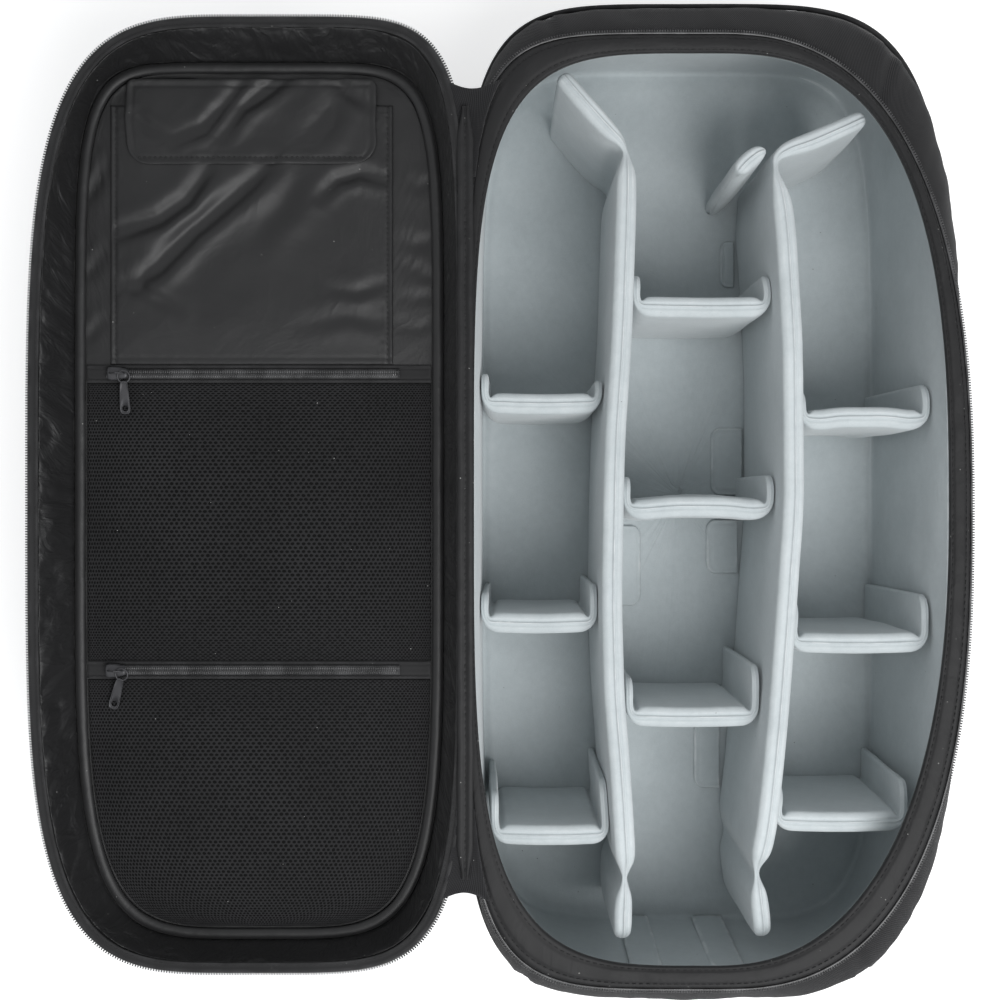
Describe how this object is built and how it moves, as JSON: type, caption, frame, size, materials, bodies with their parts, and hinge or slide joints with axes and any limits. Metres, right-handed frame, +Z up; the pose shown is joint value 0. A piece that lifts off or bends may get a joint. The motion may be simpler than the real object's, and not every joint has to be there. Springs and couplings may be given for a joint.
{
  "type": "camera backpack",
  "caption": "Open camera backpack lying on its back: padded body tub with movable dividers, and a flat lid with a document sleeve and zipped mesh pockets.",
  "frame": {"origin": "centre of the opened bag's footprint, on the surface that it lies on", "axes": "+X from the opened lid across the body, +Y towards the bag's top, +Z up out of the body's mouth"},
  "size_m": [0.5432, 0.596, 0.1774],
  "materials": {
    "cordura": "coarse woven nylon, matt black",
    "nylon": "smooth woven nylon, faint sheen, black",
    "mesh": "knitted mesh, black",
    "binding": "ribbed binding tape, black",
    "tricot": "brushed tricot, light blue grey",
    "coil": "nylon coil, satin black",
    "gunmetal": "gunmetal plating, glossy",
    "harness": "spacer mesh, black"
  },
  "bodies": {
    "bag": {"back_panel": "harness", "strap_left": "harness", "strap_right": "harness", "lumbar_pad": "harness", "strap_web_left": "nylon", "strap_web_right": "nylon", "body_shell": "cordura", "lining": "tricot", "rim_band": "nylon", "body_piping": "binding", "body_zip_teeth": "coil", "divider_left": "tricot", "divider_right": "tricot", "divider_left_flap_top": "tricot", "divider_left_flap_bottom": "tricot", "divider_right_flap_top": "tricot", "divider_right_flap_bottom": "tricot", "divider_right_side_tab": "tricot", "cross_left_upper": "tricot", "cross_left_middle": "tricot", "cross_left_lower": "tricot", "cross_middle_upper": "tricot", "cross_middle_middle": "tricot", "cross_middle_lower": "tricot", "cross_right_upper": "tricot", "cross_right_middle": "tricot", "cross_right_lower": "tricot", "flange_left_middle": "tricot", "flange_right_upper": "tricot", "flange_right_middle": "tricot", "flange_right_inner": "tricot", "flange_right_lower": "tricot", "wall_tab_left": "tricot", "wall_tab_right": "tricot", "lid_shell": "cordura", "lid_binding": "binding", "lid_zip_teeth": "coil", "lid_piping": "binding", "lid_panel": "nylon", "sleeve_panel": "nylon", "sleeve_flap": "nylon", "zip_tape_upper": "nylon", "mesh_pocket_upper": "mesh", "zip_chain_upper": "coil", "zip_tape_lower": "nylon", "mesh_pocket_lower": "mesh", "zip_chain_lower": "coil", "zip_slider_upper": "gunmetal", "zip_slider_lower": "gunmetal", "hinge_strip": "nylon"},
    "upper_pull": {"zip_pull_upper": "gunmetal"},
    "lower_pull": {"zip_pull_lower": "gunmetal"}
  },
  "joints": [
    {"name": "upper_pull_lift", "type": "hinge", "parent": "bag", "child": "upper_pull", "pos_m": [-0.21995, 0.07415, 0.1554], "axis": [-1, 0, 0], "range_deg": [0, 40]},
    {"name": "lower_pull_lift", "type": "hinge", "parent": "bag", "child": "lower_pull", "pos_m": [-0.22051, -0.09995, 0.1554], "axis": [-0.9563, 0.2924, 0], "range_deg": [0, 40]}
  ]
}
